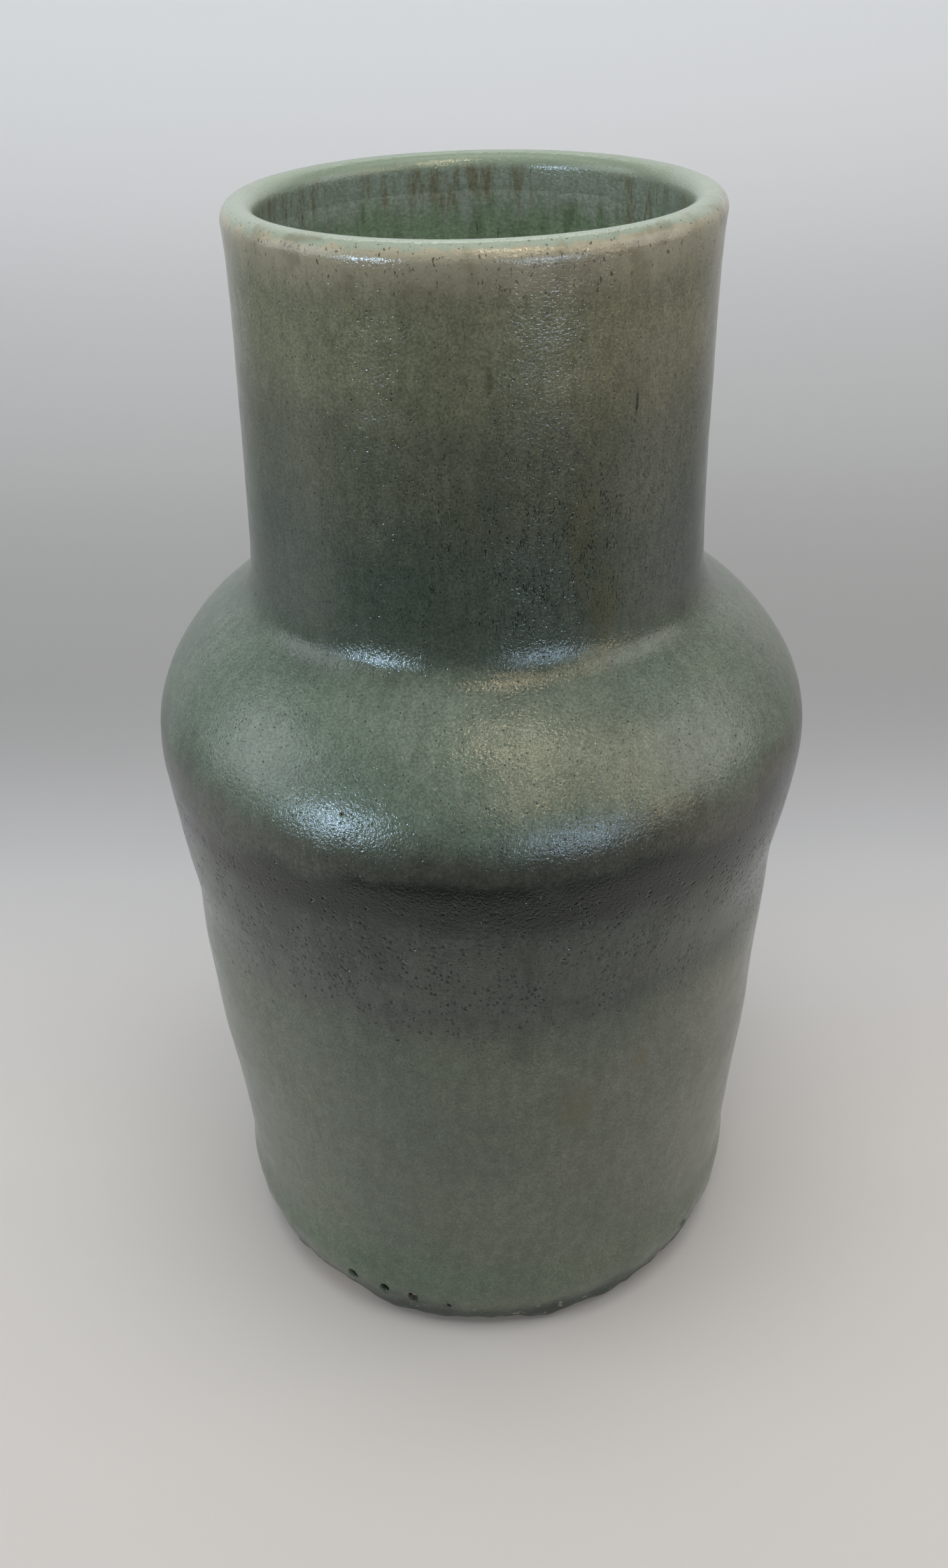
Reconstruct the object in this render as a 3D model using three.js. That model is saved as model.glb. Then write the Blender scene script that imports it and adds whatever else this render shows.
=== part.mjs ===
// Stoneware pottery vase: four thrown clay sections luted together under two coats of glaze.
// Units are millimetres, +Z is up, and the origin is on the table under the centre of the foot.
import * as THREE from "three";
import { mergeVertices } from "three/addons/utils/BufferGeometryUtils.js";

// Heights above the table
const HEIGHT = 198.6;
const GLAZE_END_Z = 1.2;
const SLAB_TOP_Z = 6.8;
const ROLL_WIDEST_Z = 13;
const WALL_CREASE_Z = 78;
const SHOULDER_EDGE_Z = 105;
const SHOULDER_WIDEST_Z = 111;
const NECK_CREASE_Z = 137.5;
const NECK_STRAIGHT_Z = 156;
const LIP_START_Z = 189;

// Radii of the glazed outside and inside
const FOOT_RADIUS = 43.4;
const ROLL_RADIUS = 49.3;
const CREASE_RADIUS = 53.0;
const SHOULDER_EDGE_RADIUS = 56.0;
const SHOULDER_RADIUS = 56.6;
const NECK_BASE_RADIUS = 38.6;
const NECK_RADIUS = 37.3;
const LIP_RADIUS = 37.6;
const MOUTH_RADIUS = 32.4;

// Thicknesses and gaps
const GLAZE_THICKNESS = 0.9;
const PIECE_GAP = 0.3;
const WALL_THICKNESS = 5.6;
const FLOOR_Z = SLAB_TOP_Z + GLAZE_THICKNESS + PIECE_GAP;
const FLOOR_CORNER = { radius: 43.5, width: 10, height: 12 };
const FOOT_ROLL = { width: 4.7, height: 12, startAngle: -1.384 };
const FOOT_RECESS = { radius: 33, depth: 0.8, slope: 2 };

// Facets of the turned solids
const TURNS = 36;
const ROLL_STEPS = 5;
const WALL_STEPS = 7;
const SHOULDER_STEPS = 6;
const NECK_STEPS = 3;
const LIP_STEPS = 6;
const THROAT_STEPS = 6;
const CORNER_STEPS = 4;

const point = (radius, z) => new THREE.Vector2(radius, z);

// Samples of one curve without its last point, which the next curve starts with.
function samples(curve, steps) {
  return curve.getPoints(steps).slice(0, -1);
}

// The glazed outside from the foot, up over the lip and down to the start of the lining.
function outsideOutline() {
  const roll = new THREE.EllipseCurve(
    ROLL_RADIUS - FOOT_ROLL.width, ROLL_WIDEST_Z,
    FOOT_ROLL.width, FOOT_ROLL.height, FOOT_ROLL.startAngle, 0);
  const wall = new THREE.SplineCurve([
    point(ROLL_RADIUS, ROLL_WIDEST_Z),
    point(49.1, 21),
    point(50.4, 40),
    point(52.2, 60),
    point(CREASE_RADIUS, WALL_CREASE_Z),
    point(54.5, 91),
    point(SHOULDER_EDGE_RADIUS, SHOULDER_EDGE_Z),
    point(SHOULDER_RADIUS, SHOULDER_WIDEST_Z),
  ]);
  const shoulder = new THREE.CubicBezierCurve(
    point(SHOULDER_RADIUS, SHOULDER_WIDEST_Z),
    point(SHOULDER_RADIUS, SHOULDER_WIDEST_Z + 9),
    point(NECK_BASE_RADIUS + 8.4, NECK_CREASE_Z - 6.8),
    point(NECK_BASE_RADIUS, NECK_CREASE_Z),
  );
  const neck = new THREE.SplineCurve([
    point(NECK_BASE_RADIUS, NECK_CREASE_Z),
    point(37.9, 144),
    point(NECK_RADIUS + 0.1, NECK_STRAIGHT_Z),
    point(NECK_RADIUS, LIP_START_Z),
  ]);
  const lipRound = (LIP_RADIUS - MOUTH_RADIUS) / 2;
  const lipCentre = point(MOUTH_RADIUS + lipRound, HEIGHT - lipRound);
  const lipUnder = new THREE.QuadraticBezierCurve(
    point(NECK_RADIUS, LIP_START_Z),
    point(NECK_RADIUS, HEIGHT - 2.5 * lipRound),
    point(LIP_RADIUS, lipCentre.y),
  );
  const lip = new THREE.EllipseCurve(
    lipCentre.x, lipCentre.y, lipRound, lipRound, 0, Math.PI);
  return [
    ...samples(roll, ROLL_STEPS),
    ...samples(wall, WALL_STEPS),
    ...samples(shoulder, SHOULDER_STEPS),
    ...samples(neck, NECK_STEPS),
    ...samples(lipUnder, 2),
    ...samples(lip, LIP_STEPS),
    point(MOUTH_RADIUS, lipCentre.y),
    point(MOUTH_RADIUS, LIP_START_Z),
  ];
}

// The glazed inside from the start of the lining, down the wall to the middle of the floor.
function insideOutline() {
  const cornerTop = FLOOR_Z + FLOOR_CORNER.height;
  const flatRadius = FLOOR_CORNER.radius - FLOOR_CORNER.width;
  const corner = new THREE.EllipseCurve(
    flatRadius, cornerTop,
    FLOOR_CORNER.width, FLOOR_CORNER.height, 0, -Math.PI / 2, true);
  const throat = new THREE.SplineCurve([
    point(MOUTH_RADIUS, 146),
    point(33, 139),
    point(34.6, 133.8),
    point(38.6, 129.6),
    point(45, 124.4),
    point(49.2, 117.5),
    point(SHOULDER_RADIUS - WALL_THICKNESS, SHOULDER_WIDEST_Z - 1),
  ]);
  return [
    point(MOUTH_RADIUS, LIP_START_Z),
    ...samples(throat, THROAT_STEPS),
    point(SHOULDER_RADIUS - WALL_THICKNESS, SHOULDER_WIDEST_Z - 1),
    point(SHOULDER_EDGE_RADIUS - WALL_THICKNESS - 0.1, SHOULDER_EDGE_Z - 2),
    point(CREASE_RADIUS - WALL_THICKNESS, WALL_CREASE_Z),
    point(50.4 - WALL_THICKNESS, 40),
    ...samples(corner, CORNER_STEPS),
    point(flatRadius, FLOOR_Z),
    point(0, FLOOR_Z),
  ];
}

// The same outline moved into the wall, to the left of its direction of travel.
function sunk(outline, depth) {
  return outline.map((here, i) => {
    const before = outline[Math.max(i - 1, 0)];
    const after = outline[Math.min(i + 1, outline.length - 1)];
    const backward = here.clone().sub(before).normalize();
    const forward = after.clone().sub(here).normalize();
    const travel = backward.add(forward).normalize();
    return point(Math.max(here.x - travel.y * depth, 0), here.y + travel.x * depth);
  });
}

// The stretch of an outline between two heights, with a new point at each cut.
function between(outline, low, high) {
  const kept = [];
  outline.forEach((here, i) => {
    const before = outline[i - 1];
    if (before) {
      const cuts = [low, high]
        .map((z) => (z - before.y) / (here.y - before.y))
        .filter((t) => t > 0 && t < 1)
        .sort((a, b) => a - b);
      cuts.forEach((t) => kept.push(before.clone().lerp(here, t)));
    }
    if (here.y >= low && here.y <= high) {
      kept.push(here.clone());
    }
  });
  return kept;
}

// A closed outline turned about the vase's axis. The outline runs anticlockwise in (radius, z).
function turned(name, outline, material) {
  const closed = [...outline, outline[0].clone()];
  let geometry = new THREE.LatheGeometry(closed, TURNS);
  geometry.deleteAttribute("normal");
  geometry.deleteAttribute("uv");
  geometry = mergeVertices(geometry, 1e-4);
  geometry.rotateX(Math.PI / 2);
  const mesh = new THREE.Mesh(geometry, material);
  mesh.name = name;
  return mesh;
}

function stoneware() {
  return new THREE.MeshStandardMaterial({ color: 0xb9a68c, roughness: 0.9, metalness: 0 });
}

function celadon(color) {
  return new THREE.MeshStandardMaterial({ color, roughness: 0.45, metalness: 0 });
}

const outside = outsideOutline();
const inside = insideOutline();
const clayDepth = GLAZE_THICKNESS + PIECE_GAP;
const clayOutside = sunk(outside, clayDepth);
const clayInside = sunk(inside, clayDepth);

// The flat disc the vase stands on, with a shallow turned recess under it.
function baseSlab() {
  const side = between(clayOutside, GLAZE_END_Z, SLAB_TOP_Z);
  return turned("base_slab", [
    point(0, FOOT_RECESS.depth),
    point(FOOT_RECESS.radius, FOOT_RECESS.depth),
    point(FOOT_RECESS.radius + FOOT_RECESS.slope, 0),
    point(FOOT_RADIUS, 0),
    ...side,
    point(0, SLAB_TOP_Z),
  ], stoneware());
}

// A ring of the clay wall between two heights.
function wallSection(name, low, high) {
  return turned(name, [
    ...between(clayOutside, low, high),
    ...between(clayInside, low, high),
  ], stoneware());
}

// The collar, whose rolled lip joins the outside of the wall to the inside.
function neckSection() {
  const low = NECK_CREASE_Z + PIECE_GAP / 2;
  const outer = between(clayOutside, low, HEIGHT);
  const inner = between(clayInside, low, LIP_START_Z - 1);
  return turned("neck", [...outer, ...inner], stoneware());
}

// A coat of glaze that follows a stretch of the vase's surface.
function coat(name, outline, material) {
  const back = sunk(outline, GLAZE_THICKNESS).reverse();
  return turned(name, [...outline, ...back], material);
}

const vase = new THREE.Group();
vase.name = "stoneware_vase";
vase.add(
  baseSlab(),
  wallSection("body_wall", SLAB_TOP_Z + PIECE_GAP, SHOULDER_EDGE_Z - PIECE_GAP / 2),
  wallSection("shoulder", SHOULDER_EDGE_Z + PIECE_GAP / 2, NECK_CREASE_Z - PIECE_GAP / 2),
  neckSection(),
  coat("outer_glaze", outside, celadon(0x6b7a68)),
  coat("liner_glaze", between(inside, 0, LIP_START_Z - PIECE_GAP), celadon(0x66745f)),
);

export default vase;
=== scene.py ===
"""Looks of a thrown stoneware vase: celadon glaze shells and a bare clay foot around the fixed frame.

Lengths are metres. The outlines below are written in millimetres and multiplied by MM.
"""

import math

import bmesh
import bpy
import numpy as np
from mathutils import Matrix, Vector, noise


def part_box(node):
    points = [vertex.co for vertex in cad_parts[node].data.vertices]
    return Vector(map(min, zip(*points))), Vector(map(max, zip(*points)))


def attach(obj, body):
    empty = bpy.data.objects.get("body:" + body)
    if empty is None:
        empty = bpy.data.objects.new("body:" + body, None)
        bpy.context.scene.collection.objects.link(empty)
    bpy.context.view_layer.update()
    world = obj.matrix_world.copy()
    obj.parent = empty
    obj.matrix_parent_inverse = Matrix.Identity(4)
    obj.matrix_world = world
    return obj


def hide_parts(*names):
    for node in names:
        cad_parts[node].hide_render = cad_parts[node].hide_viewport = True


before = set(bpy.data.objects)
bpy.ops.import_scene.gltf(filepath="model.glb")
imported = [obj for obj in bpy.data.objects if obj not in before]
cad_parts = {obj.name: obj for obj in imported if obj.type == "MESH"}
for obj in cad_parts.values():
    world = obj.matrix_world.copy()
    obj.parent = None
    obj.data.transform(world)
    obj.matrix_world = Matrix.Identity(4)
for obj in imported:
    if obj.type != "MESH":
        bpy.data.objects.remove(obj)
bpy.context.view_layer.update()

MM = 0.001

# Top of the rim, from the frame
TOP_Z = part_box("outer_glaze")[1].z

# The lip is a half round between the mouth and the outside of the neck
MOUTH_RADIUS = 32.4 * MM
LIP_RADIUS = 37.6 * MM
LIP_ROUND = (LIP_RADIUS - MOUTH_RADIUS) / 2
LIP_CENTRE = (MOUTH_RADIUS + LIP_ROUND, TOP_Z - LIP_ROUND)

# Outside of the wall as (radius, height) in millimetres, from under the foot roll to the lip
OUTSIDE_OUTLINE = [
    (44.6, 1.9), (45.1, 1.2), (45.8, 1.0), (46.5, 1.7), (46.95, 2.9), (47.35, 4.4), (48.0, 6.3),
    (48.65, 8.8), (49.2, 12.5), (49.0, 18), (49.5, 28), (50.4, 40), (51.5, 51), (52.2, 62), (53.2, 73),
    (53.9, 81), (54.7, 90), (55.5, 98.5), (56.2, 105), (56.6, 110.5), (56.1, 115.3), (54.5, 119.9),
    (51.9, 124.3), (48.6, 128.4), (45.2, 131.5), (42.5, 133.6), (40.4, 135.1), (39.1, 136.6),
    (38.35, 138.8), (37.9, 143), (37.6, 149), (37.4, 156), (37.3, 172), (37.2, 184), (37.25, 190),
    (37.4, 193.4), (37.6, 196.0)]

# Inside of the wall, mouth to the middle of the floor
LINING_OUTLINE = [
    (32.6, 193.5), (32.5, 188.6), (32.4, 170), (32.5, 150), (33.3, 139.5), (34.9, 134), (38.9, 129.6),
    (44.9, 124.3), (48.9, 118), (50.8, 110), (50.4, 102), (48.6, 90), (47.4, 78), (46.4, 60), (44.9, 40),
    (43.6, 22), (42.8, 16), (40.4, 11.5), (37, 9), (33, 8.2)]
FLOOR_OUTLINE = [(33, 8.2), (24, 8.0), (12, 8.05), (1.2, 8.0)]

# Underside and side of the bare foot, middle to the top of the slab
FOOT_CLAY_OUTLINE = [(1.0, 0.8), (12, 0.8), (24, 0.8), (31.5, 0.75), (33.5, 0.45), (35, 0.05), (36.5, 0),
                     (40, 0), (42.6, 0), (43.5, 0.25), (44.2, 1.0), (45.2, 2.4), (46.3, 4.2), (47.1, 6.6)]

# Height at which the inside floor has turned up into the wall
FLOOR_ROUND_Z = 18 * MM

# Thickness of the modelled coats
GLAZE_THICKNESS = 0.9 * MM

# The foot edge of the outside coat wanders up and down, fading out at this height
GLAZE_FOOT_HEIGHT = 9 * MM
GLAZE_FOOT_WANDER = 0.9 * MM

# The skirt of glaze that runs down inside the mouth, and how far it leans into the wall
RUN_START_DROP = 5.0 * MM
RUN_LENGTH = 2.0 * MM
SKIRT_TAPER = 0.22 * MM

FULL_TURN = 2 * math.pi


def srgb(red, green, blue):
    """A colour named by its 0 to 255 display values, as a linear RGBA."""
    def linear(value):
        """One channel from its display value to linear light."""
        value /= 255
        return value / 12.92 if value <= 0.04045 else ((value + 0.055) / 1.055) ** 2.4
    return (linear(red), linear(green), linear(blue), 1.0)


# --- Node trees -------------------------------------------------------------------------------------

class Tree:
    """Adds nodes to a shader or geometry tree, setting or linking their inputs."""

    def __init__(self, tree):
        self.tree = tree

    def add(self, kind, inputs=None, **settings):
        """A new node of this kind, with its inputs fed and its settings made."""
        node = self.tree.nodes.new(kind)
        for name, value in settings.items():
            setattr(node, name, value)
        for key, value in (inputs or {}).items():
            self.feed(node.inputs[key], value)
        return node

    def feed(self, socket, value):
        """Link a socket into this one, or set this one to a constant."""
        if isinstance(value, bpy.types.NodeSocket):
            self.tree.links.new(value, socket)
        else:
            socket.default_value = value

    def math(self, operation, a, b=0.0):
        """The result of a sum on one or two numbers."""
        return self.add("ShaderNodeMath", {0: a, 1: b}, operation=operation).outputs[0]

    def times(self, value, *factors):
        """The product of a value and its factors."""
        for factor in factors:
            value = self.math("MULTIPLY", value, factor)
        return value

    def vector(self, operation, a, b=(0, 0, 0)):
        """The result of a sum on one or two vectors, which is a number for a length or a dot product."""
        node = self.add("ShaderNodeVectorMath", {0: a, 1: b}, operation=operation)
        return node.outputs["Value" if operation in ("LENGTH", "DOT_PRODUCT") else "Vector"]

    def scaled(self, vector, factor):
        """A vector times a number."""
        node = self.add("ShaderNodeVectorMath", {0: vector, "Scale": factor}, operation="SCALE")
        return node.outputs["Vector"]

    def noise(self, vector, scale, detail, roughness=0.5):
        """Noise from 0 to 1."""
        node = self.add("ShaderNodeTexNoise", {
            "Vector": vector, "Scale": scale, "Detail": detail, "Roughness": roughness})
        return node.outputs[0]

    def wander(self, vector, scale, detail, roughness=0.5):
        """Noise about zero."""
        return self.math("SUBTRACT", self.noise(vector, scale, detail, roughness), 0.5)

    def span(self, value, low, high, to_low=0.0, to_high=1.0):
        """Value mapped smoothly from low..high to to_low..to_high, held at the ends."""
        node = self.add("ShaderNodeMapRange", {
            0: value, 1: low, 2: high, 3: to_low, 4: to_high}, interpolation_type="SMOOTHSTEP")
        return node.outputs[0]

    def between(self, height, rise, fall):
        """A mask that fades in over the rise and out over the fall, each a (from, to) in millimetres."""
        return self.times(self.span(height, rise[0] * MM, rise[1] * MM),
                          self.span(height, fall[0] * MM, fall[1] * MM))

    def shaded(self, colour, value, low, high):
        """A colour made darker or lighter by noise, from low to high."""
        return self.mix(1.0, colour, self.span(value, 0.3, 0.7, low, high), "MULTIPLY")

    def mix(self, factor, a, b, blend="MIX"):
        """Colour a, mixed by factor with colour b."""
        node = self.add("ShaderNodeMix", data_type="RGBA", blend_type=blend)
        self.feed(node.inputs[0], factor)
        self.feed(node.inputs[6], a)
        self.feed(node.inputs[7], b)
        return node.outputs[2]

    def ramp(self, value, stops, interpolation):
        """A colour ramp with (place, colour) stops."""
        node = self.add("ShaderNodeValToRGB", {0: value})
        ramp = node.color_ramp
        ramp.interpolation = interpolation
        while len(ramp.elements) < len(stops):
            ramp.elements.new(0.5)
        for element, (place, colour) in zip(ramp.elements, stops):
            element.position = place
            element.color = colour
        return node.outputs[0]

    def group(self, group, inputs):
        """The outputs of a node that runs this group on these inputs."""
        node = self.tree.nodes.new("ShaderNodeGroup")
        node.node_tree = group
        for key, value in inputs.items():
            self.feed(node.inputs[key], value)
        return node.outputs


def shader_group(name, inputs, outputs):
    """A new shader group, with its Tree, its inputs by name and its output node."""
    group = bpy.data.node_groups.new(name, "ShaderNodeTree")
    for socket, kind, value in inputs:
        made = group.interface.new_socket(socket, in_out="INPUT", socket_type=kind)
        if value is not None:
            made.default_value = value
    for socket, kind in outputs:
        group.interface.new_socket(socket, in_out="OUTPUT", socket_type=kind)
    given = group.nodes.new("NodeGroupInput").outputs
    result = group.nodes.new("NodeGroupOutput").inputs
    return group, Tree(group), given, result


FLOAT, VECTOR = "NodeSocketFloat", "NodeSocketVector"


def make_run_coordinates():
    """Coordinates that follow the way glaze runs: round the pot, and down it stretched out."""
    group, t, given, result = shader_group(
        "run_coordinates",
        [("Position", VECTOR, None), ("Reach", FLOAT, 0.045), ("Stretch", FLOAT, 0.2)],
        [("Vector", VECTOR)])
    parts = t.add("ShaderNodeSeparateXYZ", {0: given["Position"]}).outputs
    flat = t.add("ShaderNodeCombineXYZ", {0: parts["X"], 1: parts["Y"]}).outputs[0]
    around = t.scaled(t.vector("NORMALIZE", flat), given["Reach"])
    down = t.math("MULTIPLY", parts["Z"], given["Stretch"])
    t.feed(result["Vector"], t.vector("ADD", around, t.add("ShaderNodeCombineXYZ", {2: down}).outputs[0]))
    return group


def make_flecks():
    """Short dark runs of iron, with the share of the surface that they cover."""
    group, t, given, result = shader_group(
        "iron_flecks",
        [("Position", VECTOR, None), ("Scale", FLOAT, 900.0), ("Cover", FLOAT, 0.3)],
        [("Mask", FLOAT)])
    grain = t.noise(given["Position"], given["Scale"], 1.0, 0.4)
    patch = t.noise(given["Position"], t.math("MULTIPLY", given["Scale"], 0.13), 1.0)
    edge = t.math("SUBTRACT", 0.82, t.math("MULTIPLY", given["Cover"], t.math("MULTIPLY", patch, 0.62)))
    t.feed(result["Mask"], t.span(grain, edge, t.math("ADD", edge, 0.07)))
    return group


def make_pinholes():
    """Round pinholes where gas left the glaze: a mask, and how deep each one goes."""
    group, t, given, result = shader_group(
        "pinholes",
        [("Position", VECTOR, None), ("Spacing", FLOAT, 0.003), ("Radius", FLOAT, 0.1),
         ("Share", FLOAT, 0.5)],
        [("Mask", FLOAT), ("Depth", FLOAT)])
    cells = t.add("ShaderNodeTexVoronoi", {
        "Vector": given["Position"], "Scale": t.math("DIVIDE", 1.0, given["Spacing"])})
    chance = t.add("ShaderNodeSeparateColor", {0: cells.outputs["Color"]}).outputs
    here = t.math("LESS_THAN", chance[0], given["Share"])
    size = t.math("MULTIPLY", given["Radius"], t.math("ADD", 0.45, chance[1]))
    near = t.math("SUBTRACT", 1.0, t.span(cells.outputs["Distance"], t.math("MULTIPLY", size, 0.5), size))
    t.feed(result["Mask"], t.math("MULTIPLY", near, here))
    rim = t.math("SUBTRACT", 1.0, t.span(cells.outputs["Distance"], 0.0, t.math("MULTIPLY", size, 1.7)))
    t.feed(result["Depth"], t.math("MULTIPLY", rim, here))
    return group


def make_spot():
    """A soft-edged stain or run at one place, longer down the pot than across it."""
    group, t, given, result = shader_group(
        "glaze_spot",
        [("Position", VECTOR, None), ("Centre", VECTOR, None), ("Half Width", FLOAT, 0.001),
         ("Half Length", FLOAT, 0.004), ("Ragged", FLOAT, 0.5)],
        [("Mask", FLOAT)])
    away = t.vector("SUBTRACT", given["Position"], given["Centre"])
    parts = t.add("ShaderNodeSeparateXYZ", {0: away}).outputs
    across = t.math("SQRT", t.math("ADD", t.math("MULTIPLY", parts["X"], parts["X"]),
                                   t.math("MULTIPLY", parts["Y"], parts["Y"])))
    wide = t.math("DIVIDE", across, given["Half Width"])
    tall = t.math("DIVIDE", parts["Z"], given["Half Length"])
    reach = t.math("SQRT", t.math("ADD", t.math("MULTIPLY", wide, wide), t.math("MULTIPLY", tall, tall)))
    rag = t.math("MULTIPLY", t.math("SUBTRACT", t.noise(given["Position"], 900.0, 3.0), 0.5),
                 t.math("MULTIPLY", given["Ragged"], 3.0))
    t.feed(result["Mask"], t.span(t.math("ADD", reach, rag), 1.15, 0.35))
    return group


def make_surface_grain():
    """Orange-peel dimpling and finer grit of a satin glaze, as one height."""
    group, t, given, result = shader_group(
        "satin_surface",
        [("Position", VECTOR, None), ("Dimple Scale", FLOAT, 900.0), ("Grit Scale", FLOAT, 2600.0),
         ("Grit", FLOAT, 0.4)],
        [("Height", FLOAT)])
    dimples = t.noise(given["Position"], given["Dimple Scale"], 2.0, 0.55)
    grit = t.noise(given["Position"], given["Grit Scale"], 1.0, 0.5)
    t.feed(result["Height"], t.math("ADD", dimples, t.math("MULTIPLY", grit, given["Grit"])))
    return group


# --- Materials --------------------------------------------------------------------------------------

def new_material(name):
    """A material with one Principled shader. Gives the material, its tree and the shader."""
    material = bpy.data.materials.new(name)
    material.use_nodes = True
    tree = material.node_tree
    tree.nodes.clear()
    shader = tree.nodes.new("ShaderNodeBsdfPrincipled")
    output = tree.nodes.new("ShaderNodeOutputMaterial")
    tree.links.new(shader.outputs[0], output.inputs[0])
    return material, Tree(tree), shader


def place_on(angle, height, radius):
    """A point on the pot, from its angle round it in degrees and its height and radius in millimetres."""
    turn = math.radians(angle)
    return (radius * math.cos(turn) * MM, radius * math.sin(turn) * MM, height * MM)


# Glaze colours, with painted shade in some of them
POOLED_GREEN = srgb(38, 54, 39)
FOOT_GREEN = srgb(88, 99, 83)
BODY_GREY = srgb(94, 100, 88)
BAND_GREY = srgb(70, 77, 69)
# Partly the glaze's own dark iron where it runs thin under the shoulder, partly painted shade on the
# down-facing wall there
EDGE_IRON_AND_SHADE = srgb(28, 36, 29)
SHOULDER_LOW = srgb(80, 81, 73)
SHOULDER_GREEN = srgb(97, 107, 96)
# Painted shade at the foot of the neck, in the crease above the shoulder
CREASE_PAINTED_SHADE = srgb(73, 81, 72)
NECK_GREY = srgb(90, 93, 80)
NECK_TAUPE = srgb(120, 119, 99)
LIP_GREEN = srgb(142, 154, 138)
BUFF_BREAK = srgb(176, 169, 147)
RUN_GREY = srgb(138, 148, 137)
RUN_BROWN = srgb(110, 102, 80)
# Painted shade on the top of the lip towards the back
LIP_BACK_PAINTED_SHADE = srgb(118, 134, 116)
LINING_GREEN = srgb(117, 136, 111)
LINING_DEEP = srgb(90, 106, 83)
IRON_BROWN = srgb(58, 42, 28)
OLIVE = srgb(94, 88, 62)
SEA_DARK = srgb(26, 34, 29)
PINHOLE_DARK = srgb(22, 26, 21)
# Painted shade inside the burst holes in the foot roll
HOLE_PAINTED_SHADE = srgb(10, 12, 10)
GREEN_SIDE = (0.96, 1.04, 0.99, 1)
WARM_SIDE = (1.04, 0.99, 0.93, 1)

# Holes burst in the foot roll: angle, height, half their width (mm)
FOOT_HOLES = [(-122.3, 9.4, 0.95), (-114.2, 8.9, 0.85), (-107.5, 8.4, 0.95), (-99.5, 7.2, 0.55),
              (-38.4, 9.2, 0.75), (61, 8.5, 0.8), (143, 9.0, 0.7)]

# How much taller than wide the holes are, and how far the painted shade in them spreads
HOLE_STRETCH = 1.45
HOLE_SHADOW = 1.35

# How deep the holes go and how high their rims stand
HOLE_DEPTH = 1.25 * MM
HOLE_RIM = 0.12 * MM

# Distances from the axis, in millimetres, of the foot roll's face and of the holes' floors, where their
# painted shade is centred
FOOT_ROLL_RADIUS = 48.9
HOLE_FLOOR_RADIUS = 47.7

# Radius at which the run coordinates are laid out round the pot
RUN_REACH = 45 * MM

# Glaze tint at each height (mm) up the outside. The dark edge under the shoulder is partly the glaze's own
# iron and partly painted shade, and the dark foot of the neck is painted shade
ZONES = [(1, POOLED_GREEN), (4, POOLED_GREEN), (9, FOOT_GREEN), (30, BODY_GREY), (73, BODY_GREY),
         (84, BAND_GREY), (98, BAND_GREY), (104.5, EDGE_IRON_AND_SHADE), (108, EDGE_IRON_AND_SHADE), (112.5, SHOULDER_LOW),
         (121, SHOULDER_GREEN), (131, SHOULDER_GREEN), (141, CREASE_PAINTED_SHADE), (151, CREASE_PAINTED_SHADE),
         (168, NECK_GREY), (184, NECK_TAUPE)]

# Stains and runs on the outside, and one patch of painted shade at the front of the neck: angle, height,
# radius, half width, half length (mm), colour, strength
OUTSIDE_MARKS = [
    (-128.5, 195.6, 37.4, 0.45, 2.2, IRON_BROWN, 0.85),
    (-126.5, 193.6, 37.3, 0.35, 2.4, IRON_BROWN, 0.6),
    (-52.6, 174.8, 37.3, 0.35, 2.6, PINHOLE_DARK, 0.85),
    (-87, 180.0, 37.3, 0.7, 2.2, IRON_BROWN, 0.35),
    # Painted shade on the front of the neck, not a stain
    (-86, 163.0, 37.4, 3.0, 8.0, CREASE_PAINTED_SHADE, 0.35),
    (-66, 157.0, 37.5, 3.2, 9.0, OLIVE, 0.4),
    (-60, 145.0, 37.8, 3.6, 7.0, OLIVE, 0.4),
    (-107, 80.0, 53.4, 1.2, 6.5, SEA_DARK, 0.42),
    (-104, 82.0, 53.6, 0.8, 5.0, SEA_DARK, 0.38),
    (-88.7, 81.0, 53.5, 1.4, 1.8, SEA_DARK, 0.4),
    (-75, 84.0, 53.8, 3.2, 1.4, SEA_DARK, 0.35),
    (-60, 66.0, 52.4, 2.4, 3.0, OLIVE, 0.5),
    (-73, 59.0, 52.1, 4.2, 7.0, OLIVE, 0.5),
    (-84, 74.0, 53.0, 3.0, 2.4, SEA_DARK, 0.25),
]


def glaze_tint(t, position, runs, colour):
    """A colour warmed towards +X and greened towards -X, streaked down the pot and finely speckled."""
    parts = t.add("ShaderNodeSeparateXYZ", {0: position}).outputs
    cloud = t.noise(position, 45.0, 4.0, 0.55)
    across = t.math("ADD", parts["X"], t.times(t.math("SUBTRACT", cloud, 0.5), 0.12))
    side = t.mix(t.span(across, -0.04, 0.05), GREEN_SIDE, WARM_SIDE)
    colour = t.mix(1.0, colour, side, "MULTIPLY")
    colour = t.shaded(colour, cloud, 0.90, 1.10)
    colour = t.shaded(colour, t.noise(runs, 650.0, 3.0, 0.6), 0.92, 1.08)
    colour = t.shaded(colour, t.noise(position, 2600.0, 2.0, 0.6), 0.76, 1.23)
    return t.shaded(colour, t.noise(position, 520.0, 2.0, 0.6), 0.91, 1.09)


def zone_colours(t, height):
    """Glaze tints down the outside, from the foot to the lip, with painted shade under the shoulder and at
    the foot of the neck.
    """
    stops = [(z * MM / TOP_Z, colour) for z, colour in ZONES]
    return t.ramp(t.math("DIVIDE", height, TOP_Z), stops, "EASE")


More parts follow.
